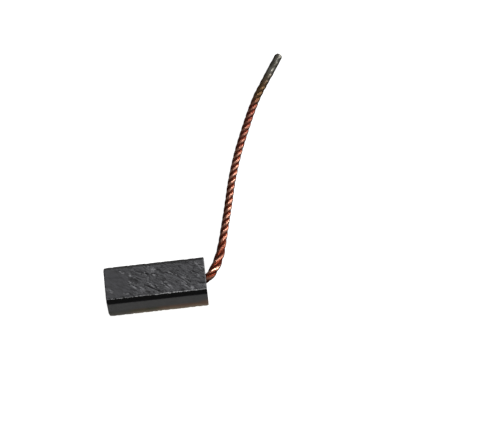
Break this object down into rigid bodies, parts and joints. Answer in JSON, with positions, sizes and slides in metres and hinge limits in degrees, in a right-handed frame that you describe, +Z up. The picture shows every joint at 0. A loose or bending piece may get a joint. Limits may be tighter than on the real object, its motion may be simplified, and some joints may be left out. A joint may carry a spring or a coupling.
{
  "type": "carbon brush",
  "caption": "Rectangular carbon brush with chamfered long edges and a bare stranded copper shunt, tamped into one end and tinned at its free end.",
  "frame": {"origin": "the middle of the carbon block's base, on the surface that the brush and its shunt lie on", "axes": "+X along the block from the contact face, which runs on the commutator, to the shunt end; +Y across the block, towards the side that the shunt bends to; +Z up out of the chamfered face"},
  "size_m": [0.0345, 0.0451, 0.0065],
  "materials": {
    "carbon": "matte",
    "tamped_copper_powder": "matte",
    "copper_strand": "satin",
    "solder": "satin"
  },
  "bodies": {
    "root": {"carbon_block": "carbon", "tamping_plug": "tamped_copper_powder", "shunt_cable": "copper_strand", "tinned_tip": "solder"}
  },
  "joints": []
}
